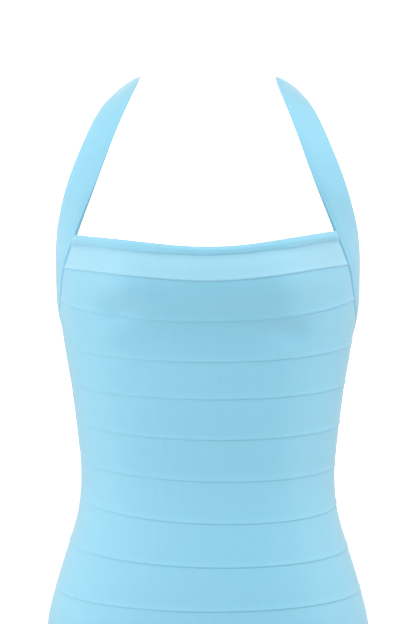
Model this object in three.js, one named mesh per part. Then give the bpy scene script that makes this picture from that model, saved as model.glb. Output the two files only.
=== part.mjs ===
// A bodycon dress in light blue bandage knit, filled out as it is when worn.
// Millimetres, +Z up, the front of the dress faces -Y. The origin is at the base of the neck, midway between the
// two places where the straps lie over the wearer's shoulders. A "drop" is a distance straight down from there.
// An "angle" runs round the torso in radians: 0 at the middle of the front, pi at the middle of the back, and
// positive towards the wearer's left (+X).
import * as THREE from "three";

// Cloth and seams
const CLOTH = 1.6; // one layer of bandage knit
const LIP = 0.8; // how far the lower edge of a strip stands over the strip below it
const SEAM_GAP = 0.3; // clearance between two pieces that are sewn together
const STRAP_GAP = 0.5; // the same, along the curved seam between a strap and the bodice

// Layout
const SIDE_LINE_Y = -15; // the side silhouette lies this far in front of the tops of the shoulders
const SIDE_SEAM = THREE.MathUtils.degToRad(97);
const STRIP = 41; // height of one strip of the skirt
const SKIRT_STRIPS = 8; // strips between the last row of SEAMS and the hem
const FIRST_BACK_STRIP = 1; // the back starts level with this strip of the front
const LAST_STRAP_STRIP = 2; // the last strip that the straps are sewn to

// Mesh density
const FRONT_COLUMNS = 32;
const BACK_COLUMNS = 24;
const STRAP_COLUMNS = 64;
const STRAP_CELLS = 4; // cells across the strap
const ROW_HEIGHT = 21; // most height between two rows of points on a strip
const FINE_ROW_HEIGHT = 8; // the same beside the curved strap seam

const KNIT = { color: 0x9fdaf2, roughness: 0.85, metalness: 0 };

// The torso inside the dress, a general figure in a small size. half is half its width, and front and back are
// its depths before and behind the side line.
const FIGURE = [
  { drop: 120, half: 146.5, front: 84, back: 106 },
  { drop: 150, half: 148.8, front: 91, back: 106 },
  { drop: 181, half: 150.1, front: 98, back: 105 },
  { drop: 211, half: 148.4, front: 98, back: 104 },
  { drop: 235, half: 146.3, front: 97, back: 102 },
  { drop: 259, half: 143, front: 96, back: 98 },
  { drop: 307, half: 135.5, front: 94, back: 90 },
  { drop: 355, half: 129.8, front: 91, back: 83 },
  { drop: 391, half: 126.9, front: 90, back: 81 },
  { drop: 427, half: 130.1, front: 93, back: 87 },
  { drop: 463, half: 140.4, front: 98, back: 97 },
  { drop: 499, half: 151.6, front: 102, back: 109 },
  { drop: 535, half: 160.5, front: 104, back: 119 },
  { drop: 590, half: 167, front: 104, back: 126 },
  { drop: 640, half: 167, front: 102, back: 120 },
  { drop: 720, half: 158.5, front: 98, back: 106 },
  { drop: 840, half: 146, front: 93, back: 98 },
];

// The bust as the tight strips shape it: two soft crowns with the cloth stretched level between them.
const BUST = { drop: 181, depth: 21, spread: 72, above: 52, below: 42, side: 41, valley: 0.16 };

// Horizontal seams, from the neckline to the hips: drop at the middle of the front, the rise to the sides, and
// how much lower a seam runs between the crowns of the bust than over them.
const DIP_WIDTH = THREE.MathUtils.degToRad(32);
const NECKLINE = { front: 154.4, rise: 0, dip: 10 };
const BINDING_EDGE = { front: 162.3, rise: 0, dip: 8 };
const SEAMS = [
  { front: 185.6, rise: 0, dip: 8 },
  { front: 225.7, rise: 17.9, dip: 0 },
  { front: 265.9, rise: 10.3, dip: 0 },
  { front: 302.3, rise: 7, dip: 0 },
  { front: 342.1, rise: 7.6, dip: 0 },
  { front: 383.1, rise: 8.4, dip: 0 },
  { front: 424.1, rise: 10.3, dip: 0 },
  { front: 465.9, rise: 8, dip: 0 },
  { front: 508.6, rise: 5, dip: 0 },
];
const BACK_NECKLINE = { front: 172, rise: 0, dip: 0 };
const BACK_BINDING_EDGE = { front: 180, rise: 0, dip: 0 };

// The seams between a strap and the bodice, from the neckline down to the side seam, in front and behind.
const STRAP_FOOT = 254.6;
const FRONT_STRAP_SEAM = [
  { drop: 144.4, degrees: 59 },
  { drop: 177.6, degrees: 68.4 },
  { drop: 213.1, degrees: 78 },
  { drop: 231.7, degrees: 87 },
  { drop: STRAP_FOOT, degrees: 97 },
];
const BACK_STRAP_SEAM = [
  { drop: 172, degrees: 112 },
  { drop: 200, degrees: 106.5 },
  { drop: 225, degrees: 101.5 },
  { drop: STRAP_FOOT, degrees: 97 },
];

// The outer edge of the strap beside the bodice, from the side seam up: x, depth behind the side line, and drop.
// at is the drop of the point of the strap seam that it lies across from.
const FRONT_ARMHOLE = [
  { at: 253.4, x: 146.6, y: 12, drop: 217 },
  { at: 231.7, x: 148.6, y: 9, drop: 199 },
  { at: 213.1, x: 150, y: 3, drop: 182 },
  { at: 177.6, x: 150.6, y: -8, drop: 160 },
  { at: 144.4, x: 148.4, y: -19, drop: 141 },
];
const BACK_ARMHOLE = [
  { at: 253.4, x: 146.6, y: 13.2, drop: 217 },
  { at: 225, x: 148.5, y: 14.5, drop: 194.5 },
  { at: 200, x: 149.5, y: 17.5, drop: 172.5 },
  { at: 172, x: 148.5, y: 23, drop: 149 },
];

// The strap above the bodice, up over the shoulder and down the back: its inner and its outer edge.
const STRAP = [
  { inX: 110.8, inY: -60, inDrop: 105, outX: 140, outY: -37, outDrop: 107 },
  { inX: 101.1, inY: -61, inDrop: 81, outX: 131.7, outY: -41, outDrop: 82.5 },
  { inX: 92.4, inY: -57, inDrop: 57, outX: 121.7, outY: -39, outDrop: 58 },
  { inX: 83.2, inY: -47, inDrop: 33, outX: 110.9, outY: -30, outDrop: 34 },
  { inX: 74.8, inY: -32, inDrop: 13, outX: 101.4, outY: -16, outDrop: 18 },
  { inX: 68.8, inY: -13, inDrop: -1.5, outX: 95.4, outY: 1, outDrop: 11 },
  { inX: 67.2, inY: 8, inDrop: -8.4, outX: 93, outY: 14, outDrop: 8.5 },
  { inX: 71, inY: 28, inDrop: -3.5, outX: 94.5, outY: 25, outDrop: 11.5 },
  { inX: 78.5, inY: 48, inDrop: 9, outX: 99.8, outY: 34, outDrop: 19 },
  { inX: 90.5, inY: 64, inDrop: 30, outX: 108.5, outY: 42, outDrop: 34 },
  { inX: 101.7, inY: 73, inDrop: 54, outX: 119.5, outY: 47, outDrop: 56 },
  { inX: 110.5, inY: 76, inDrop: 79, outX: 130, outY: 50, outDrop: 80.5 },
  { inX: 120.5, inY: 72, inDrop: 105, outX: 138.5, outY: 46, outDrop: 103 },
  { inX: 132, inY: 58, inDrop: 136, outX: 145.5, outY: 33, outDrop: 127 },
];
const SEWN_STEPS = 8; // points along each of the strap's sewn ends
const STRAP_THICKNESS = 2.4; // a strip folded in two
const STRAP_EDGE = 0.55; // thickness at the strap's edges, as a share
const STRAP_CROWN = { sewn: 2.2, free: 1.2 }; // how far its middle bows out, beside the bodice and above it

// The neckline's rolled binding, and the flatter one along the back.
const ROLL = { thickness: 5.2, proud: 1.6, corners: 8 };
const BACK_ROLL = { thickness: 3.4, proud: 0.8, corners: 6 };

// A smooth curve through one column of a table, by the table's key column.
function curve(table, key, column) {
  const slope = table.map((row, i) => {
    const before = table[Math.max(i - 1, 0)];
    const after = table[Math.min(i + 1, table.length - 1)];
    return (after[column] - before[column]) / (after[key] - before[key]);
  });
  const rising = table[table.length - 1][key] > table[0][key];
  return (at) => {
    let i = table.findIndex((row) => (rising ? row[key] > at : row[key] < at)) - 1;
    if (i === -2) i = table.length - 2;
    i = Math.max(i, 0);
    const span = table[i + 1][key] - table[i][key];
    const t = THREE.MathUtils.clamp((at - table[i][key]) / span, 0, 1);
    const from = table[i][column];
    const to = table[i + 1][column];
    const ease = t * t * (3 - 2 * t);
    const lift = t * (1 - t) * ((1 - t) * slope[i] - t * slope[i + 1]) * span;
    return from + (to - from) * ease + lift;
  };
}

const halfWidth = curve(FIGURE, "drop", "half");
const frontDepth = curve(FIGURE, "drop", "front");
const backDepth = curve(FIGURE, "drop", "back");
const frontSeam = curve(FRONT_STRAP_SEAM, "drop", "degrees");
const backSeam = curve(BACK_STRAP_SEAM, "drop", "degrees");

// The two halves of the dress, as a strap is sewn to them. side is -1 where the strips lie before the seam with
// the strap, and 1 where they lie behind it.
const FRONT = { side: -1, depth: frontDepth, seam: frontSeam, armhole: FRONT_ARMHOLE };
const BACK = { side: 1, depth: backDepth, seam: backSeam, armhole: BACK_ARMHOLE };

// How far the bust pushes the front forward, at a distance from the centre line and a drop.
function bust(x, drop) {
  const beside = Math.abs(x) - BUST.spread;
  const across =
    beside > 0
      ? Math.exp(-((beside / BUST.side) ** 2))
      : 1 - BUST.valley * (1 - (x / BUST.spread) ** 2) ** 2;
  const reach = drop < BUST.drop ? BUST.above : BUST.below;
  return BUST.depth * across * Math.exp(-(((drop - BUST.drop) / reach) ** 2));
}

// A point on the outside of the figure.
function figure(angle, drop) {
  const x = halfWidth(drop) * Math.sin(angle);
  const forward = Math.cos(angle);
  if (forward <= 0) return new THREE.Vector3(x, SIDE_LINE_Y - backDepth(drop) * forward, -drop);
  const depth = frontDepth(drop) * forward + bust(x, drop) * Math.sqrt(forward);
  return new THREE.Vector3(x, SIDE_LINE_Y - depth, -drop);
}

// The same point, moved out along the surface's normal.
function offFigure(angle, drop, out) {
  const step = 0.01;
  const round = figure(angle + step, drop).sub(figure(angle - step, drop));
  const down = figure(angle, drop + 1).sub(figure(angle, drop - 1));
  const normal = down.cross(round).normalize();
  return figure(angle, drop).addScaledVector(normal, out);
}

// The drop of a horizontal seam at an angle. It rises from the front to the sides, and a little more behind.
function level(seam, angle) {
  const forward = Math.cos(angle);
  const rise = seam.rise * (forward > 0 ? 1 - forward : 1 - 0.2 * forward);
  return seam.front - rise - seam.dip * (1 - Math.exp(-((angle / DIP_WIDTH) ** 2)));
}

// Joins a grid of closed sections into one solid, with its ends capped. sections[i][j] is point j of section i,
// and a section's points run so that the faces look out.
function loft(sections) {
  const count = sections[0].length;
  const positions = sections.flat().flatMap((p) => [p.x, p.y, p.z]);
  const index = [];
  for (let i = 0; i < sections.length - 1; i++)
    for (let j = 0; j < count; j++) {
      const a = i * count + j;
      const b = i * count + ((j + 1) % count);
      index.push(a, b, a + count, b, b + count, a + count);
    }
  const last = (sections.length - 1) * count;
  for (let j = 1; j < count / 2; j++) {
    // A section is two runs of points that face each other, so the caps are ladders between the runs.
    const near = [j - 1, j, count - j, (2 * count - j - 1) % count];
    index.push(near[0], near[2], near[1], near[1], near[2], near[3]);
    const far = near.map((n) => n + last);
    index.push(far[0], far[1], far[2], far[1], far[3], far[2]);
  }
  const geometry = new THREE.BufferGeometry();
  geometry.setAttribute("position", new THREE.Float32BufferAttribute(positions, 3));
  geometry.setIndex(index);
  return geometry;
}

// The angle where a row of a strip ends: at the strap seam above the strap's foot, at the side seam below.
function rowEnd(row, half) {
  let angle = SIDE_SEAM;
  for (let pass = 0; pass < 12; pass++) {
    const drop = level(row, angle);
    if (drop >= STRAP_FOOT) return SIDE_SEAM + (half.side * SEAM_GAP) / 2 / halfWidth(drop);
    angle = THREE.MathUtils.degToRad(half.seam(drop));
  }
  return angle + (half.side * STRAP_GAP) / 2 / half.depth(row.front);
}

function acrossFront(row) {
  const end = rowEnd(row, FRONT);
  return [-end, end];
}

function acrossBack(row) {
  const end = rowEnd(row, BACK);
  return [end, 2 * Math.PI - end];
}

// A row part of the way from one seam to the next.
function between(top, bottom, share) {
  return {
    front: THREE.MathUtils.lerp(top.front, bottom.front, share),
    rise: THREE.MathUtils.lerp(top.rise, bottom.rise, share),
    dip: THREE.MathUtils.lerp(top.dip, bottom.dip, share),
  };
}

// One strip of knit: a curved wall whose lower edge stands over the strip below. ends(row) gives its two angles.
function strip(top, bottom, rowHeight, columns, ends) {
  const rows = Math.ceil((bottom.front - top.front) / rowHeight);
  const upper = { ...top, front: top.front + SEAM_GAP / 2 };
  const lower = { ...bottom, front: bottom.front - SEAM_GAP / 2 };
  const sections = [];
  for (let i = 0; i <= columns; i++) {
    const outside = [];
    const inside = [];
    for (let j = 0; j <= rows; j++) {
      const row = between(upper, lower, j / rows);
      const [start, end] = ends(row);
      const angle = THREE.MathUtils.lerp(start, end, i / columns);
      const drop = level(row, angle);
      outside.push(offFigure(angle, drop, LIP * (j / rows)));
      inside.unshift(offFigure(angle, drop, -CLOTH));
    }
    sections.push([...outside, ...inside]);
  }
  return loft(sections);
}

// A rolled edge between two seams, seen in section as a flattened round.
function binding(top, bottom, roll, columns, ends) {
  const upper = { ...top, front: top.front + SEAM_GAP / 2 };
  const lower = { ...bottom, front: bottom.front - SEAM_GAP / 2 };
  const sections = [];
  for (let i = 0; i <= columns; i++) {
    const section = [];
    for (let j = 0; j < roll.corners; j++) {
      const turn = ((j + 0.5) / roll.corners) * 2 * Math.PI;
      const row = between(upper, lower, (1 - Math.cos(turn)) / 2);
      const [start, end] = ends(row);
      const angle = THREE.MathUtils.lerp(start, end, i / columns);
      const out = roll.proud + (roll.thickness / 2) * Math.sin(turn);
      section.push(offFigure(angle, level(row, angle), out));
    }
    sections.push(section);
  }
  return loft(sections);
}

// The two edges of a strap where it is sewn to one half of the dress, from the side seam up to the neckline.
function sewnEdges(half) {
  const [x, y, drop] = ["x", "y", "drop"].map((column) => curve(half.armhole, "at", column));
  const foot = half.armhole[0].at;
  const corner = half.armhole[half.armhole.length - 1].at;
  const inner = [];
  const outer = [];
  for (let i = 0; i <= SEWN_STEPS; i++) {
    const at = THREE.MathUtils.lerp(foot, corner, i / SEWN_STEPS);
    const gap = STRAP_GAP / 2 / half.depth(at);
    const beside = half.side * THREE.MathUtils.degToRad(half.seam(at)) - gap;
    const atSideSeam = half.side * SIDE_SEAM + STRAP_GAP / halfWidth(foot);
    inner.push(offFigure(half.side * Math.max(beside, atSideSeam), at, 0));
    outer.push(new THREE.Vector3(x(at), SIDE_LINE_Y + y(at), -drop(at)));
  }
  return { inner, outer };
}

// The two edges of a whole strap as smooth curves, from side seam to side seam over the shoulder.
function strapEdges() {
  const front = sewnEdges(FRONT);
  const back = sewnEdges(BACK);
  const inner = STRAP.map((row) => new THREE.Vector3(row.inX, SIDE_LINE_Y + row.inY, -row.inDrop));
  const outer = STRAP.map((row) => new THREE.Vector3(row.outX, SIDE_LINE_Y + row.outY, -row.outDrop));
  const smooth = (points) => new THREE.CatmullRomCurve3(points, false, "centripetal");
  return {
    inner: smooth([...front.inner, ...inner, ...back.inner.reverse()]),
    outer: smooth([...front.outer, ...outer, ...back.outer.reverse()]),
  };
}

// One strap: a folded strip that runs from the side seam up the side of the front, over the shoulder and down
// the side of the back. side is 1 for the wearer's left and -1 for the right.
function strap(side) {
  const { inner, outer } = strapEdges();
  const sewnShare = SEWN_STEPS / (inner.points.length - 1);
  const sections = [];
  for (let i = 0; i <= STRAP_COLUMNS; i++) {
    const t = i / STRAP_COLUMNS;
    const from = inner.getPoint(t);
    const to = outer.getPoint(t);
    const along = inner.getTangent(t).add(outer.getTangent(t)).normalize();
    const across = to.clone().sub(from);
    const normal = across.clone().cross(along).normalize();
    const sewn = THREE.MathUtils.clamp(1 - (Math.min(t, 1 - t) - sewnShare) / 0.06, 0, 1);
    const crown = THREE.MathUtils.lerp(STRAP_CROWN.free, STRAP_CROWN.sewn, sewn);
    const outside = [];
    const inside = [];
    for (let j = 0; j <= STRAP_CELLS; j++) {
      const share = j / STRAP_CELLS;
      const hump = 4 * share * (1 - share);
      const thickness = STRAP_THICKNESS * THREE.MathUtils.lerp(STRAP_EDGE, 1, hump ** 0.5);
      const middle = from.clone().addScaledVector(across, share).addScaledVector(normal, crown * hump);
      outside.push(middle.clone().addScaledVector(normal, thickness / 2));
      inside.unshift(middle.clone().addScaledVector(normal, -thickness / 2));
    }
    sections.push([...outside, ...inside]);
  }
  if (side < 0)
    for (const section of sections) {
      section.forEach((point) => (point.x = -point.x));
      section.reverse();
    }
  return loft(sections);
}

function piece(name, geometry) {
  const mesh = new THREE.Mesh(geometry, new THREE.MeshStandardMaterial(KNIT));
  mesh.name = name;
  return mesh;
}

// Every horizontal seam below the binding, down to the hem.
function seamLevels() {
  const seams = [BINDING_EDGE, ...SEAMS];
  const last = SEAMS[SEAMS.length - 1];
  for (let i = 1; i <= SKIRT_STRIPS; i++)
    seams.push({ front: last.front + STRIP * i, rise: last.rise * (1 - i / SKIRT_STRIPS), dip: 0 });
  return seams;
}

function dress() {
  const group = new THREE.Group();
  const seams = seamLevels();
  for (let i = 0; i < seams.length - 1; i++) {
    const number = String(i).padStart(2, "0");
    const rowHeight = i <= LAST_STRAP_STRIP ? FINE_ROW_HEIGHT : ROW_HEIGHT;
    const front = strip(seams[i], seams[i + 1], rowHeight, FRONT_COLUMNS, acrossFront);
    group.add(piece("front_strip_" + number, front));
    if (i < FIRST_BACK_STRIP) continue;
    const top = i === FIRST_BACK_STRIP ? BACK_BINDING_EDGE : seams[i];
    const back = strip(top, seams[i + 1], rowHeight, BACK_COLUMNS, acrossBack);
    group.add(piece("back_strip_" + number, back));
  }
  const neckline = binding(NECKLINE, BINDING_EDGE, ROLL, FRONT_COLUMNS, acrossFront);
  const backEdge = binding(BACK_NECKLINE, BACK_BINDING_EDGE, BACK_ROLL, BACK_COLUMNS, acrossBack);
  group.add(piece("neck_binding", neckline));
  group.add(piece("back_binding", backEdge));
  group.add(piece("strap_left", strap(1)));
  group.add(piece("strap_right", strap(-1)));
  return group;
}

export default dress();
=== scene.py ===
# A bodycon dress in light blue bandage knit, filled out as it is when worn.
# The dress is worked out in millimetres and turned into metres as each mesh is made. The origin is at the
# base of the neck, midway between the places where the straps lie over the shoulders. A drop is a distance
# straight down from there, and the front of the dress faces -Y.
import bisect
import math

import bmesh
import bpy
from mathutils import Euler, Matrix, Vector, noise


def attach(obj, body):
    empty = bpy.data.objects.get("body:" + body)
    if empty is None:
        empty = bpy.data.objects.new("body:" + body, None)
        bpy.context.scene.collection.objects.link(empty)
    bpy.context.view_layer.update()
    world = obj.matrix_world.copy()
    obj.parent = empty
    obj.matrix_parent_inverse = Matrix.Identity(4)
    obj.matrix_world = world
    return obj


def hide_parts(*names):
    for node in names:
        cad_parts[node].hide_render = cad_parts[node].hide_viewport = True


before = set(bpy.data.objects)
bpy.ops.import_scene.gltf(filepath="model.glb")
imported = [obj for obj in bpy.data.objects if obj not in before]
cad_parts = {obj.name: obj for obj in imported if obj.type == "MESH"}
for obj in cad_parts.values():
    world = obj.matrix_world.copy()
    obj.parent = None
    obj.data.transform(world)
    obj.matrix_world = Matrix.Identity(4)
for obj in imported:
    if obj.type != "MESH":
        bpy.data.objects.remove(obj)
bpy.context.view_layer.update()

MM = 0.001

# The camera looks slightly down at the dress from across a studio, with a long lens. It stands level with the
# shoulders and slightly towards the wearer's left, and the frame ends at the hips.
CAMERA_AWAY = 2515 * MM
CAMERA_ASIDE = -0.3 * MM
CAMERA_HEIGHT = 6 * MM
CAMERA_TILT = math.radians(5.3)
CAMERA_TURN = math.radians(2)
CAMERA_LENS = 144.9
SENSOR = 36.0

lens = bpy.data.cameras.new("camera")
lens.lens = CAMERA_LENS
lens.sensor_width = SENSOR
lens.clip_end = 30.0
camera = bpy.data.objects.new("camera", lens)
camera.rotation_euler = (math.radians(90) - CAMERA_TILT, 0, CAMERA_TURN)
stand = Vector((CAMERA_ASIDE, -CAMERA_AWAY, CAMERA_HEIGHT))
stand.rotate(Euler((0, 0, CAMERA_TURN)))
camera.location = stand
bpy.context.scene.collection.objects.link(camera)
bpy.context.scene.camera = camera
bpy.context.scene.view_settings.view_transform = "Standard"

# The studio is a pale floor below the hem, a white wall far behind, and large soft lights.
FLOOR_DROP = 1420 * MM
FLOOR_SIDE = 9.0
WALL_BEHIND = 3.5
WALL_SIDE = 3.2
LIGHT_SIDE = 1.8
LIGHTS = [
    dict(name="above", at=(0, -0.6, 2.2), watts=24),
    dict(name="front", at=(0, -3.4, 0.2), watts=17),
    dict(name="front_left", at=(-1.9, -2.4, 0.2), watts=24),
    dict(name="left_high", at=(-2.0, -0.8, 1.4), watts=9),
    dict(name="left_low", at=(-2.6, -0.6, -0.5), watts=21),
    dict(name="right_high", at=(2.0, -0.8, 1.4), watts=24),
    dict(name="right_low", at=(2.6, -0.6, -0.5), watts=19),
    dict(name="rim_left", at=(-1.8, 1.0, 0.3), watts=9),
    dict(name="rim_right", at=(1.8, 1.0, 0.3), watts=8),
]
AIM = Vector((0, -0.02, -0.35))
DAYLIGHT = 0.245


def plain(name, colour, glow=0.0):
    made = bpy.data.materials.new(name)
    made.use_nodes = True
    shader = made.node_tree.nodes["Principled BSDF"]
    shader.inputs["Base Color"].default_value = (*colour, 1)
    shader.inputs["Roughness"].default_value = 0.9
    shader.inputs["Emission Color"].default_value = (1, 1, 1, 1)
    shader.inputs["Emission Strength"].default_value = glow
    return made


def sheet_of_studio(name, side, lift, turn, material):
    mesh = bpy.data.meshes.new(name)
    bm = bmesh.new()
    bmesh.ops.create_grid(bm, x_segments=1, y_segments=1, size=side / 2)
    for vert in bm.verts:
        vert.co = Vector((vert.co.x, lift[1], vert.co.y + lift[2])) if turn else vert.co + Vector(lift)
    bm.to_mesh(mesh)
    bm.free()
    mesh.materials.append(material)
    made = bpy.data.objects.new(name, mesh)
    bpy.context.scene.collection.objects.link(made)


sheet_of_studio("floor", FLOOR_SIDE, (0, 0, -FLOOR_DROP), False, plain("floor", (0.6, 0.61, 0.62)))
sheet_of_studio("wall", WALL_SIDE, (0, WALL_BEHIND, 0), True, plain("wall", (0.9, 0.9, 0.9), 1.0))
for spec in LIGHTS:
    data = bpy.data.lights.new(spec["name"], "AREA")
    data.shape = "SQUARE"
    data.size = LIGHT_SIDE
    data.energy = spec["watts"]
    lamp = bpy.data.objects.new(spec["name"], data)
    lamp.location = spec["at"]
    lamp.rotation_euler = (AIM - lamp.location).to_track_quat("-Z", "Y").to_euler()
    bpy.context.scene.collection.objects.link(lamp)
world = bpy.data.worlds.new("studio")
world.use_nodes = True
world.node_tree.nodes["Background"].inputs["Color"].default_value = (1, 1, 1, 1)
world.node_tree.nodes["Background"].inputs["Strength"].default_value = DAYLIGHT
bpy.context.scene.world = world


# Bandage knit: a dense, smooth knit of fine viscose and elastane. Its columns of stitches run down the strips
# and along the straps, and it has a slight sheen where light grazes it. SHADE says how much each of its
# patterns takes part in the mix of its two colours, and the painted sheen further down how much paler the top
# strip's knit is mixed, for the light from above on its upward-facing cloth.
STITCH_WIDE = 1.25
STITCH_TALL = 0.95
STITCH_SLANT = 1.2
STITCH_RELIEF = 0.05 * MM
RIB_RELIEF = -0.5
LEG_RELIEF = 0.35
BUMP_STRENGTH = 0.6
KNIT_COLOUR = (0.232, 0.611, 0.808)
KNIT_LIGHT = (0.261, 0.659, 0.844)
# A painted sheen: how much paler the top strip's knit is mixed, standing in for the light from above on it.
PAINTED_TOP_SHEEN = 0.1
MOTTLE_SIZE = 60.0
STREAK = dict(wide=2.6, long=30)
SHADE = dict(mottle=0.4, streak=0.7, relief=0.2, less=0.05)
KNIT_ROUGHNESS = 0.5
RELIEF_ROUGHNESS = -0.03
KNIT_SHEEN = 0.6
KNIT_SHEEN_ROUGHNESS = 0.6
KNIT_GLOSS = 0.5


class Pattern:
    """A socket of a material's nodes, so that a pattern is written as arithmetic."""

    def __init__(self, tree, socket):
        self.tree = tree
        self.socket = socket

    def node(self, kind, settings, inputs, output=0):
        made = self.tree.nodes.new(kind)
        for name, value in settings.items():
            setattr(made, name, value)
        for name, value in inputs.items():
            if isinstance(value, Pattern):
                self.tree.links.new(value.socket, made.inputs[name])
            else:
                made.inputs[name].default_value = value
        return Pattern(self.tree, made.outputs[output])

    def maths(self, operation, *values):
        return self.node("ShaderNodeMath", {"operation": operation}, dict(enumerate(values)))

    def __add__(self, other):
        return self.maths("ADD", self, other)

    def __mul__(self, other):
        return self.maths("MULTIPLY", self, other)

    def __sub__(self, other):
        return self.maths("SUBTRACT", self, other)


def knit(name, paler=0.0):
    dark, light = (
        tuple(channel + paler * (1 - channel) for channel in colour)
        for colour in (KNIT_COLOUR, KNIT_LIGHT)
    )
    made = bpy.data.materials.new(name)
    made.use_nodes = True
    tree = made.node_tree
    shader = tree.nodes["Principled BSDF"]
    start = Pattern(tree, None)
    cloth = start.node("ShaderNodeUVMap", {"uv_map": "cloth"}, {})
    across = cloth.node("ShaderNodeSeparateXYZ", {}, {0: cloth}, 0)
    down = cloth.node("ShaderNodeSeparateXYZ", {}, {0: cloth}, 1)
    column = across * (1 / STITCH_WIDE)
    beside = column.maths("ABSOLUTE", column.maths("FRACT", column) - 0.5)
    leg = column.maths("SINE", (down * (1 / STITCH_TALL) + beside * STITCH_SLANT) * (2 * math.pi))
    rib = column.maths("COSINE", column * (2 * math.pi))
    relief = rib * RIB_RELIEF + leg * LEG_RELIEF
    place = start.node("ShaderNodeTexCoord", {}, {}, 3)
    mottle = place.node("ShaderNodeTexNoise", {}, {"Vector": place, "Scale": MOTTLE_SIZE, "Detail": 3.0})
    streaks = cloth.node(
        "ShaderNodeCombineXYZ", {}, {0: across * (1 / STREAK["wide"]), 1: down * (1 / STREAK["long"])}
    )
    streak = streaks.node("ShaderNodeTexNoise", {}, {"Vector": streaks, "Scale": 1.0, "Detail": 2.0})
    # The relief's share makes the raised stitches paler and the grooves between them darker: painted shade in
    # the knit's grooves. The mottle and streaks are the knit's own uneven tone.
    shade = mottle * SHADE["mottle"] + streak * SHADE["streak"] + relief * SHADE["relief"] - SHADE["less"]
    colour = shade.node(
        "ShaderNodeMix", {"data_type": "RGBA"}, {0: shade, 6: (*dark, 1), 7: (*light, 1)}, 2
    )
    rough = relief * RELIEF_ROUGHNESS + KNIT_ROUGHNESS
    bump = relief.node(
        "ShaderNodeBump", {}, {"Strength": BUMP_STRENGTH, "Distance": STITCH_RELIEF, "Height": relief}
    )
    tree.links.new(colour.socket, shader.inputs["Base Color"])
    tree.links.new(rough.socket, shader.inputs["Roughness"])
    tree.links.new(bump.socket, shader.inputs["Normal"])
    shader.inputs["Specular IOR Level"].default_value = KNIT_GLOSS
    shader.inputs["Sheen Weight"].default_value = KNIT_SHEEN
    shader.inputs["Sheen Roughness"].default_value = KNIT_SHEEN_ROUGHNESS
    return made


# The figure that the dress is filled out by: a general one in a small size. half is half its width, and front
# and back are its depths before and behind the line of its sides.
SIDE_LINE = -15
FIGURE = [
    dict(drop=120, half=146.5, front=84, back=106),
    dict(drop=150, half=148.8, front=91, back=106),
    dict(drop=181, half=150.4, front=98, back=105),
    dict(drop=211, half=148.9, front=98, back=104),
    dict(drop=235, half=146.9, front=97, back=102),
    dict(drop=259, half=143.4, front=96, back=98),
    dict(drop=307, half=135.6, front=94, back=90),
    dict(drop=355, half=129.9, front=91, back=83),
    dict(drop=391, half=127.3, front=90, back=81),
    dict(drop=427, half=130.8, front=93, back=87),
    dict(drop=463, half=141.2, front=98, back=97),
    dict(drop=499, half=152.3, front=102, back=109),
    dict(drop=535, half=161.2, front=104, back=119),
    dict(drop=590, half=167, front=104, back=126),
    dict(drop=640, half=167, front=102, back=120),
    dict(drop=720, half=158.5, front=98, back=106),
    dict(drop=840, half=146, front=93, back=98),
]
BUST = dict(drop=181, depth=21, spread=72, above=52, below=42, side=41, valley=0.16)


def mix(low, high, share):
    return low + (high - low) * share


def curve(table, key, column):
    # A smooth curve through one column of a table, by the table's key column.
    step = 1 if table[-1][key] > table[0][key] else -1
    rows = table[::step]
    keys = [row[key] for row in rows]
    values = [row[column] for row in rows]
    last = len(rows) - 1
    slopes = []
    for i in range(len(rows)):
        before, after = max(i - 1, 0), min(i + 1, last)
        slopes.append((values[after] - values[before]) / (keys[after] - keys[before]))

    def at(where):
        i = min(max(bisect.bisect_right(keys, where) - 1, 0), last - 1)
        span = keys[i + 1] - keys[i]
        t = min(max((where - keys[i]) / span, 0), 1)
        lift = t * (1 - t) * ((1 - t) * slopes[i] - t * slopes[i + 1]) * span
        return mix(values[i], values[i + 1], t * t * (3 - 2 * t)) + lift

    return at


half_width = curve(FIGURE, "drop", "half")
front_depth = curve(FIGURE, "drop", "front")
back_depth = curve(FIGURE, "drop", "back")


def figure(angle, drop):
    # A point on the outside of the figure. The angle is 0 at the middle of the front.
    forward = math.cos(angle)
    x = half_width(drop) * math.sin(angle)
    if forward <= 0:
        return Vector((x, SIDE_LINE - back_depth(drop) * forward, -drop))
    beside = abs(x) - BUST["spread"]
    if beside > 0:
        fullness = math.exp(-((beside / BUST["side"]) ** 2))
    else:
        fullness = 1 - BUST["valley"] * (1 - (x / BUST["spread"]) ** 2) ** 2
    reach = BUST["above"] if drop < BUST["drop"] else BUST["below"]
    bust = BUST["depth"] * fullness * math.exp(-(((drop - BUST["drop"]) / reach) ** 2))
    return Vector((x, SIDE_LINE - front_depth(drop) * forward - bust * math.sqrt(forward), -drop))


def off_figure(angle, drop, out):
    # The same point, moved out along the surface's normal.
    around = figure(angle + 0.01, drop) - figure(angle - 0.01, drop)
    down = figure(angle, drop + 1) - figure(angle, drop - 1)
    return figure(angle, drop) + down.cross(around).normalized() * out


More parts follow.
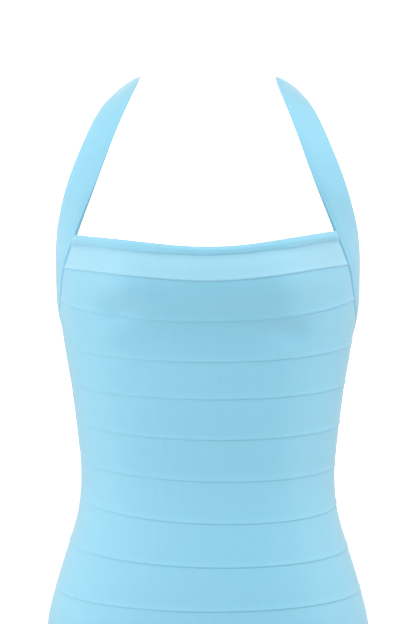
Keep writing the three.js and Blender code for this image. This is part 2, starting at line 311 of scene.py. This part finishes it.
# The strips of the front and of the back: bands of knit, each with its lower edge folded under and sewn over
# the top of the next one. The two sets meet in a seam down each side. A seam is level but for its rise to the
# sides, its dip between the crowns of the bust, and its lean to one side. right and left say how far its fold
# stands out towards the wearer's right and left, as a share: the seams lie flatter on the wearer's right.
SIDE_SEAM = math.radians(97)
GAP = 0.2
STRETCH = 1.12
STRIP_TALL = 41
SKIRT_STRIPS = 8
FIRST_BACK_STRIP = 1
DIP_WIDTH = math.radians(32)
DIP_TURN = math.radians(4)
BACK_RISE = 0.2
NECKLINE = dict(front=154.2, rise=1.5, dip=10, lean=-3, right=1, left=1)
BINDING_EDGE = dict(front=162, rise=1.2, dip=8, lean=-2.8, right=1, left=1)
SEAMS = [
    dict(front=185.6, rise=0, dip=8, lean=-2.4, right=1.2, left=1.3),
    dict(front=225.7, rise=17.9, dip=0, lean=-1.2, right=0.9, left=1.3),
    dict(front=265.9, rise=10.3, dip=0, lean=-0.2, right=0.25, left=1.0),
    dict(front=302.3, rise=7, dip=0, lean=0.7, right=0.3, left=1.0),
    dict(front=342.1, rise=7.6, dip=0, lean=1.9, right=0.35, left=0.9),
    dict(front=383.1, rise=8.4, dip=0, lean=3.3, right=0.35, left=0.9),
    dict(front=424.1, rise=10.3, dip=0, lean=4.1, right=0.45, left=0.9),
    dict(front=465.9, rise=8, dip=0, lean=2.7, right=0.65, left=1.0),
    dict(front=508.6, rise=5, dip=0, lean=0.3, right=0.65, left=1.0),
]
BACK_NECKLINE = dict(front=172, rise=0, dip=0, lean=0, right=1, left=1)
BACK_BINDING_EDGE = dict(front=180, rise=0, dip=0, lean=0, right=1, left=1)
STRAP_FOOT = 254.6
FRONT_STRAP_SEAM = [
    dict(drop=144.4, degrees=59),
    dict(drop=177.6, degrees=68.4),
    dict(drop=213.1, degrees=78),
    dict(drop=231.7, degrees=87),
    dict(drop=STRAP_FOOT, degrees=97),
]
BACK_STRAP_SEAM = [
    dict(drop=172, degrees=112),
    dict(drop=200, degrees=106.5),
    dict(drop=225, degrees=101.5),
    dict(drop=STRAP_FOOT, degrees=97),
]
# A strip in section. Its top edge lies under the strip above or runs up into a binding: distances down from
# the seam and out from the figure. Its face has shares of its height, and its folded edge has distances down
# from the seam below.
TOP_SEWN = dict(
    outside=[(-1.0, -0.60), (0.0, -0.36), (0.9, -0.10), (2.2, 0.02)],
    inside=[(4.0, -1.20), (0.8, -1.40), (-1.0, -1.50)],
)
TOP_BOUND = dict(
    outside=[(-3.2, 1.00), (-0.8, 1.10), (0.5, 0.75), (2.2, 0.15)],
    inside=[(4.0, -1.20), (0.8, -0.85), (-3.2, 0.20)],
)
FACE = [(0.18, 0.08), (0.38, 0.14), (0.6, 0.16), (0.82, 0.14)]
FACE_FROM, FACE_TO = 2.2, -7.5
FOLD = [
    (-7.5, 0.10), (-5.0, 0.14), (-3.4, 0.32), (-2.2, 0.60), (-1.2, 0.80), (-0.5, 0.80), (-0.1, 0.58),
    (0.0, 0.28), (-0.2, 0.02), (-0.9, -0.20), (-3.0, -0.46), (-6.0, -1.05),
]
BACK_OF_FACE = -1.15
LEAST_NOTCH = 0.7
TUCK = dict(depth=2.1, reach=1.5)
END_STATIONS = (0, 0.35, 0.8, 1.4, 2.2, 3.4)
COLUMN = 3.4
END_ROUNDS = 12
LENGTH_STEPS = 60
HEIGHT_STEPS = 20
# Soft creases where the cloth gives, and two hollows under the bust: degrees round from the front and drop of
# the middle, half length and half width in millimetres, how much it slants, and how deep it is. Past
# CREASE_REACH times its length or width a crease has faded out.
CREASE_REACH = dict(long=2.4, wide=3)
CREASES = [
    dict(degrees=-34, drop=217, long=22, wide=14, slant=0.0, deep=4.2),
    dict(degrees=34, drop=239, long=20, wide=14, slant=0.0, deep=4.4),
    dict(degrees=70, drop=352, long=38, wide=5.5, slant=0.10, deep=0.55),
    dict(degrees=-74, drop=366, long=42, wide=6, slant=-0.06, deep=0.6),
    dict(degrees=64, drop=398, long=30, wide=5, slant=-0.12, deep=0.4),
    dict(degrees=-62, drop=405, long=34, wide=6, slant=0.08, deep=0.45),
    dict(degrees=178, drop=366, long=78, wide=7, slant=0.03, deep=1.3),
    dict(degrees=168, drop=391, long=64, wide=7.5, slant=-0.05, deep=1.5),
    dict(degrees=191, drop=414, long=70, wide=7, slant=0.06, deep=1.1),
    dict(degrees=132, drop=349, long=44, wide=6, slant=0.14, deep=0.8),
    dict(degrees=226, drop=356, long=40, wide=6.5, slant=-0.12, deep=0.8),
    dict(degrees=120, drop=402, long=46, wide=6, slant=-0.10, deep=0.7),
    dict(degrees=238, drop=396, long=38, wide=6, slant=0.12, deep=0.7),
]

# The two halves of the dress: the strips lie before the strap's seam on the front, and behind it on the back.
FRONT = dict(side=-1, depth=front_depth, seam=curve(FRONT_STRAP_SEAM, "drop", "degrees"))
BACK = dict(side=1, depth=back_depth, seam=curve(BACK_STRAP_SEAM, "drop", "degrees"))


def between(top, bottom, share):
    return {key: mix(top[key], bottom[key], share) for key in top}


def level(row, angle):
    # The drop of a horizontal seam at an angle.
    forward = math.cos(angle)
    rise = row["rise"] * (1 - forward if forward > 0 else 1 - BACK_RISE * forward)
    dip = row["dip"] * (1 - math.exp(-(((angle - DIP_TURN) / DIP_WIDTH) ** 2)))
    return row["front"] - rise - dip + row["lean"] * math.sin(angle)


def row_end(row, half, hand):
    # Where a row of a strip ends: at the strap's seam above the strap's foot, and at the side seam below.
    angle = SIDE_SEAM
    for _ in range(END_ROUNDS):
        drop = level(row, hand * angle)
        if drop >= STRAP_FOOT:
            return SIDE_SEAM + half["side"] * GAP / 2 / half_width(drop)
        angle = math.radians(half["seam"](drop))
    return angle + half["side"] * GAP / 2 / half["depth"](row["front"])


def front_ends(row):
    return -row_end(row, FRONT, -1), row_end(row, FRONT, 1)


def back_ends(row):
    return row_end(row, BACK, 1), 2 * math.pi - row_end(row, BACK, -1)


def creased(angle, drop):
    # How deep the creases are at a point of the cloth.
    depth = 0
    for crease in CREASES:
        away = math.radians(crease["degrees"]) - angle
        away = (away + math.pi) % (2 * math.pi) - math.pi
        along = away * half_width(drop)
        aside = drop - crease["drop"] + crease["slant"] * along
        near_it = abs(along) < CREASE_REACH["long"] * crease["long"]
        if near_it and abs(aside) < CREASE_REACH["wide"] * crease["wide"]:
            fade = math.exp(-((along / crease["long"]) ** 2))
            near = (aside / crease["wide"]) ** 2
            depth += crease["deep"] * fade * (1 - near) * math.exp(-near)
    return depth


def tucked(distance):
    # How far the cloth turns in beside a seam.
    return TUCK["depth"] * max(0, 1 - distance / TUCK["reach"]) ** 2


def stations(length, column):
    # Distances along a piece, close together beside the seams at its ends.
    count = max(1, round((length - 2 * END_STATIONS[-1]) / column))
    middle = [mix(END_STATIONS[-1], length - END_STATIONS[-1], i / count) for i in range(1, count)]
    return [*END_STATIONS, *middle, *(length - s for s in reversed(END_STATIONS))]


def fabric(name, columns, rows, place, pattern, joined, capped, material):
    # Makes a piece of cloth out of a grid: place gives each point of it, and pattern its place in the knit.
    mesh = bpy.data.meshes.new(name)
    bm = bmesh.new()
    uv = bm.loops.layers.uv.new("cloth")
    bmesh.ops.create_grid(bm, x_segments=columns, y_segments=rows, size=0.5)
    index = {v: (round((v.co.x + 0.5) * columns), round((v.co.y + 0.5) * rows)) for v in bm.verts}
    for face in bm.faces:
        for loop in face.loops:
            loop[uv].uv = pattern(*index[loop.vert])
    for vert, (i, j) in index.items():
        vert.co = place(i, j) * MM
    if joined:
        bmesh.ops.remove_doubles(bm, verts=bm.verts, dist=0.001 * MM)
    if capped:
        bmesh.ops.holes_fill(bm, edges=[e for e in bm.edges if e.is_boundary], sides=0)
    bmesh.ops.recalc_face_normals(bm, faces=bm.faces)
    for face in bm.faces:
        face.smooth = True
    bm.to_mesh(mesh)
    bm.free()
    mesh.materials.append(material)
    made = bpy.data.objects.new(name, mesh)
    bpy.context.scene.collection.objects.link(made)
    return made


def walled(piece, thickness):
    wall = piece.modifiers.new("wall", "SOLIDIFY")
    wall.thickness = thickness * MM
    wall.offset = -1


def fit(piece, node, flat):
    # Every piece is cloth stretched over the figure, so it was cut smaller than it is worn.
    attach(piece, "root")
    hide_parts(node)
    tuple(size * MM for size in flat)


def arc_length(row, start, end):
    angles = [mix(start, end, i / LENGTH_STEPS) for i in range(LENGTH_STEPS + 1)]
    points = [figure(angle, level(row, angle)) for angle in angles]
    return sum((b - a).length for a, b in zip(points, points[1:]))


def mean_height(top, bottom, start, end):
    angles = [mix(start, end, (i + 0.5) / HEIGHT_STEPS) for i in range(HEIGHT_STEPS)]
    return sum(level(bottom, a) - level(top, a) for a in angles) / len(angles)


def strip(name, node, top, bottom, ends, edge, material):
    middle = between(top, bottom, 0.5)
    length = arc_length(middle, *ends(middle))
    along = stations(length, COLUMN)
    section = [(0, down, out, True) for down, out in edge["outside"]]
    section += [(share, mix(FACE_FROM, FACE_TO, share), out, False) for share, out in FACE]
    section += [(1, down, out, out > 0) for down, out in FOLD]
    section += [(0.5, 0, BACK_OF_FACE, False)]
    section += [(0, down, out, False) for down, out in edge["inside"]]
    rows = []
    for share, down, out, varies in section:
        row = between(top, bottom, share)
        rows.append((row, down, out, varies, *ends({**row, "front": row["front"] + down})))
    tall = mean_height(top, bottom, *ends(middle))

    def place(i, j):
        row, down, out, varies, start, end = rows[j % len(rows)]
        angle = mix(start, end, along[i] / length)
        drop = level(row, angle) + down
        if varies:
            stand_out = mix(row["right"], row["left"], (1 + math.sin(angle)) / 2)
            out *= stand_out if out > 0 else max(stand_out, LEAST_NOTCH)
        aside = min(along[i], length - along[i])
        return off_figure(angle, drop, out - tucked(aside) - creased(angle, drop))

    def pattern(i, j):
        share, down, *_ = section[j % len(section)]
        return along[i], tall * share + down

    made = fabric(name, len(along) - 1, len(section), place, pattern, True, True, material)
    fit(made, node, (tall, length / STRETCH))


# The strip below the neckline catches more light from above on its upward-facing slope than the others, so
# its knit is mixed paler: a painted sheen.
strip_knit = knit("strip_knit")
painted_sheen_knit = knit("painted_sheen_knit", PAINTED_TOP_SHEEN)
seams = [BINDING_EDGE, *SEAMS]
for i in range(1, SKIRT_STRIPS + 1):
    last = SEAMS[-1]
    ease = 1 - i / SKIRT_STRIPS
    seams.append({**last, "front": last["front"] + STRIP_TALL * i, "rise": last["rise"] * ease})
for number in range(len(seams) - 1):
    label = f"{number:02d}"
    top, bottom = seams[number], seams[number + 1]
    edge, cloth = (TOP_BOUND, painted_sheen_knit) if number == 0 else (TOP_SEWN, strip_knit)
    strip(f"knit_front_{label}", f"front_strip_{label}", top, bottom, front_ends, edge, cloth)
    if number >= FIRST_BACK_STRIP:
        bound = number == FIRST_BACK_STRIP
        top, edge = (BACK_BINDING_EDGE, TOP_BOUND) if bound else (top, TOP_SEWN)
        strip(f"knit_back_{label}", f"back_strip_{label}", top, bottom, back_ends, edge, strip_knit)


# The bindings: a strip of the same knit, rolled over the edge of the cloth and sewn down behind. The
# neckline's is full and round, and the back's is flatter. The cloth runs up into each through a slit below.
BINDING_WALL = 0.8
BINDING_STEPS = 26
SLIT_MIDDLE = math.radians(205)
SLIT_HALF = math.radians(22)
NECK_ROLL = dict(thick=5.4, proud=1.5, wave=0.6, wave_long=34)
BACK_ROLL = dict(thick=4.2, proud=1.2, wave=0.3, wave_long=40)
ROLL_SLOPE = 0.55
ROLL_UNEVEN = 0.06
FLAT_END = dict(reach=4.5, share=0.12)


def binding(name, node, top, bottom, roll, ends, material):
    middle = between(top, bottom, 0.5)
    length = arc_length(middle, *ends(middle))
    along = stations(length, COLUMN)
    tall = bottom["front"] - top["front"]
    # Round the roll from one lip of the slit, up behind, over the top and down the outside to the other lip.
    first = SLIT_MIDDLE + SLIT_HALF
    sweep = 2 * (math.pi - SLIT_HALF)
    turns = [first + sweep * j / BINDING_STEPS for j in range(BINDING_STEPS + 1)]
    rows = [between(top, bottom, (1 - math.cos(turn)) / 2) for turn in turns]
    edges = [ends(row) for row in rows]

    def place(i, j):
        angle = mix(*edges[j], along[i] / length)
        aside = min(along[i], length - along[i])
        full = mix(FLAT_END["share"], 1, min(1, aside / FLAT_END["reach"]) ** 0.5)
        wave = noise.noise(Vector((along[i] / roll["wave_long"], roll["thick"], 0)))
        low = max(0, -math.cos(turns[j]))
        slope = 1 - ROLL_SLOPE * low if math.sin(turns[j]) > 0 else 1
        half = roll["thick"] / 2 * (1 + ROLL_UNEVEN * wave)
        out = (roll["proud"] + half * math.sin(turns[j]) * slope) * full
        drop = level(rows[j], angle) + roll["wave"] * 2 * wave * low
        return off_figure(angle, drop, out - tucked(aside))

    around = math.pi * (tall + roll["thick"]) / 2

    def pattern(i, j):
        return along[i], around * j / BINDING_STEPS

    made = fabric(name, len(along) - 1, BINDING_STEPS, place, pattern, False, False, material)
    walled(made, BINDING_WALL)
    fit(made, node, (around, length / STRETCH))


binding_knit = knit("binding_knit")
binding("knit_neck_binding", "neck_binding", NECKLINE, BINDING_EDGE, NECK_ROLL, front_ends, binding_knit)
binding(
    "knit_back_binding", "back_binding", BACK_NECKLINE, BACK_BINDING_EDGE, BACK_ROLL, back_ends, binding_knit
)

# The straps: wide strips folded in two and sewn shut, set into the sides of the front and of the back. Each
# one runs from the side seam up over the shoulder and down to the side seam again, round the arm.
STRAP_WALL = 0.6
STRAP_HALF = 1.1
STRAP_COLUMN = 2.8
OUTSIDE_STEPS = 40
OUTSIDE_EASE = 1.3
INSIDE_STEPS = 12
FOLD_STEPS = 6
STRAP_CROWN = dict(sewn=2.2, free=1.2)
SEWN_STEPS = 8
SEWN_FADE = 0.06
STRAP_EDGE = dict(share=0.5, reach=7)
LENGTH_SAMPLES = 200
WIDTH_AT = 0.35
NEARBY = 0.002
# Fine creases along the strap where it is sewn down: distance from the seam, half width, depth, and the share
# of the sewn stretch where each is deepest. CREASE_FADE is how far along they fade out, as such a share too.
STRAP_CREASES = [
    dict(aside=3.4, wide=0.6, deep=0.36, at=0.9),
    dict(aside=5.6, wide=0.7, deep=0.34, at=0.78),
    dict(aside=8.4, wide=0.9, deep=0.26, at=0.62),
]
CREASE_FADE = 0.3
# The outer edge where the strap is sewn on, at places along the seam, and the two edges where it is free: x,
# distance behind the line of the sides, and drop.
FRONT_ARMHOLE = [
    dict(at=253.4, x=146.6, y=12, drop=217),
    dict(at=231.7, x=148.6, y=9, drop=199),
    dict(at=213.1, x=150, y=3, drop=182),
    dict(at=177.6, x=150.6, y=-8, drop=160),
    dict(at=144.4, x=148.4, y=-19, drop=141),
]
BACK_ARMHOLE = [
    dict(at=253.4, x=146.6, y=13.2, drop=217),
    dict(at=225, x=148.5, y=14.5, drop=194.5),
    dict(at=200, x=149.5, y=17.5, drop=172.5),
    dict(at=172, x=148.5, y=23, drop=149),
]
STRAP = [
    dict(inner=(110.8, -60, 105), outer=(140, -37, 107)),
    dict(inner=(101.1, -61, 81), outer=(131.7, -41, 82.5)),
    dict(inner=(92.4, -57, 57), outer=(121.7, -39, 58)),
    dict(inner=(83.2, -47, 33), outer=(110.9, -30, 34)),
    dict(inner=(74.8, -32, 13), outer=(101.4, -16, 18)),
    dict(inner=(68.8, -13, -1.5), outer=(95.4, 1, 11)),
    dict(inner=(67.2, 8, -8.4), outer=(93, 14, 8.5)),
    dict(inner=(71, 28, -3.5), outer=(94.5, 25, 11.5)),
    dict(inner=(78.5, 48, 9), outer=(99.8, 34, 19)),
    dict(inner=(90.5, 64, 30), outer=(108.5, 42, 34)),
    dict(inner=(101.7, 73, 54), outer=(119.5, 47, 56)),
    dict(inner=(110.5, 76, 79), outer=(130, 50, 80.5)),
    dict(inner=(120.5, 72, 105), outer=(138.5, 46, 103)),
    dict(inner=(132, 58, 136), outer=(145.5, 33, 127)),
]


def smooth_path(points):
    # A centripetal spline through the points, read by a share of its point count.
    steps = len(points) - 1
    ahead = [2 * points[0] - points[1], *points, 2 * points[-1] - points[-2]]

    def at(share):
        i = min(int(share * steps), steps - 1)
        t = share * steps - i
        p = ahead[i : i + 4]
        gaps = [max((b - a).length ** 0.5, 1e-4) for a, b in zip(p, p[1:])]
        leave = (p[1] - p[0]) / gaps[0] - (p[2] - p[0]) / (gaps[0] + gaps[1]) + (p[2] - p[1]) / gaps[1]
        reach = (p[2] - p[1]) / gaps[1] - (p[3] - p[1]) / (gaps[1] + gaps[2]) + (p[3] - p[2]) / gaps[2]
        leave, reach = leave * gaps[1], reach * gaps[1]
        bend = 2 * p[1] - 2 * p[2] + leave + reach
        lean = 3 * p[2] - 3 * p[1] - 2 * leave - reach
        return p[1] + leave * t + lean * t * t + bend * t * t * t

    return at


def sewn_edges(half, armhole):
    # The strap's two edges where it is sewn to one half of the dress, from the side seam up to the neckline.
    across, backward, down = (curve(armhole, "at", key) for key in ("x", "y", "drop"))
    foot, corner = armhole[0]["at"], armhole[-1]["at"]
    inner, outer = [], []
    for i in range(SEWN_STEPS + 1):
        at = mix(foot, corner, i / SEWN_STEPS)
        beside = half["side"] * math.radians(half["seam"](at)) - GAP / 2 / half["depth"](at)
        at_side_seam = half["side"] * SIDE_SEAM + GAP / half_width(foot)
        inner.append(off_figure(half["side"] * max(beside, at_side_seam), at, 0))
        outer.append(Vector((across(at), SIDE_LINE + backward(at), -down(at))))
    return inner, outer


def strap_edges():
    front_inner, front_outer = sewn_edges(FRONT, FRONT_ARMHOLE)
    back_inner, back_outer = sewn_edges(BACK, BACK_ARMHOLE)
    inner, outer = (
        [Vector((row[edge][0], SIDE_LINE + row[edge][1], -row[edge][2])) for row in STRAP]
        for edge in ("inner", "outer")
    )
    inner = [*front_inner, *inner, *reversed(back_inner)]
    outer = [*front_outer, *outer, *reversed(back_outer)]
    return smooth_path(inner), smooth_path(outer), SEWN_STEPS / (len(inner) - 1)


def strap(name, node, hand, material):
    inner, outer, sewn_share = strap_edges()
    points = [inner(i / LENGTH_SAMPLES) for i in range(LENGTH_SAMPLES + 1)]
    length = sum((b - a).length for a, b in zip(points, points[1:]))
    along = stations(length, STRAP_COLUMN)
    wide = (outer(WIDTH_AT) - inner(WIDTH_AT)).length
    # Round the strap in section: out over the outside, round the fold, back along the inside and round again.
    turns = [math.pi * i / FOLD_STEPS for i in range(1, FOLD_STEPS)]
    shares = [(i / OUTSIDE_STEPS) ** OUTSIDE_EASE for i in range(OUTSIDE_STEPS + 1)]
    ring = [dict(share=share, round=0, face=1) for share in shares]
    ring += [dict(share=1, round=math.sin(turn), face=math.cos(turn)) for turn in turns]
    ring += [dict(share=1 - i / INSIDE_STEPS, round=0, face=-1) for i in range(INSIDE_STEPS + 1)]
    ring += [dict(share=0, round=-math.sin(turn), face=-math.cos(turn)) for turn in turns]

    def place(i, j):
        t = along[i] / length
        near, far = inner(t), outer(t)
        ahead, behind = min(t + NEARBY, 1), max(t - NEARBY, 0)
        forward = (inner(ahead) - inner(behind)).normalized() + (outer(ahead) - outer(behind)).normalized()
        across = far - near
        normal = across.cross(forward).normalized()
        end = min(t, 1 - t)
        sewn = min(max(1 - (end - sewn_share) / SEWN_FADE, 0), 1)
        step = ring[j % len(ring)]
        edge = STRAP_HALF * STRAP_EDGE["share"]
        distance = edge * (1 + step["round"]) + step["share"] * (across.length - 2 * edge)
        share = distance / across.length
        full = min(distance, across.length - distance) / STRAP_EDGE["reach"]
        half = mix(edge, STRAP_HALF, min(max(full, 0), 1))
        lift = 4 * share * (1 - share) * mix(STRAP_CROWN["free"], STRAP_CROWN["sewn"], sewn)
        lift -= sewn * tucked(distance) + tucked(min(along[i], length - along[i]))
        for crease in STRAP_CREASES:
            fade = math.exp(-(((end / sewn_share - crease["at"]) / CREASE_FADE) ** 2))
            beside = (distance - crease["aside"]) / crease["wide"]
            lift -= crease["deep"] * fade * math.exp(-(beside**2))
        point = near + across * share + normal * (lift + half * step["face"])
        return Vector((point.x * hand, point.y, point.z))

    def pattern(i, j):
        step = ring[j % len(ring)]
        around = wide * (step["share"] if step["face"] > 0 else 2 - step["share"])
        return (around if j < len(ring) else 2 * wide), along[i]

    made = fabric(name, len(along) - 1, len(ring), place, pattern, True, False, material)
    walled(made, STRAP_WALL)
    fit(made, node, (2 * wide, length / STRETCH))


strap_knit = knit("strap_knit")
strap("knit_strap_left", "strap_left", 1, strap_knit)
strap("knit_strap_right", "strap_right", -1, strap_knit)
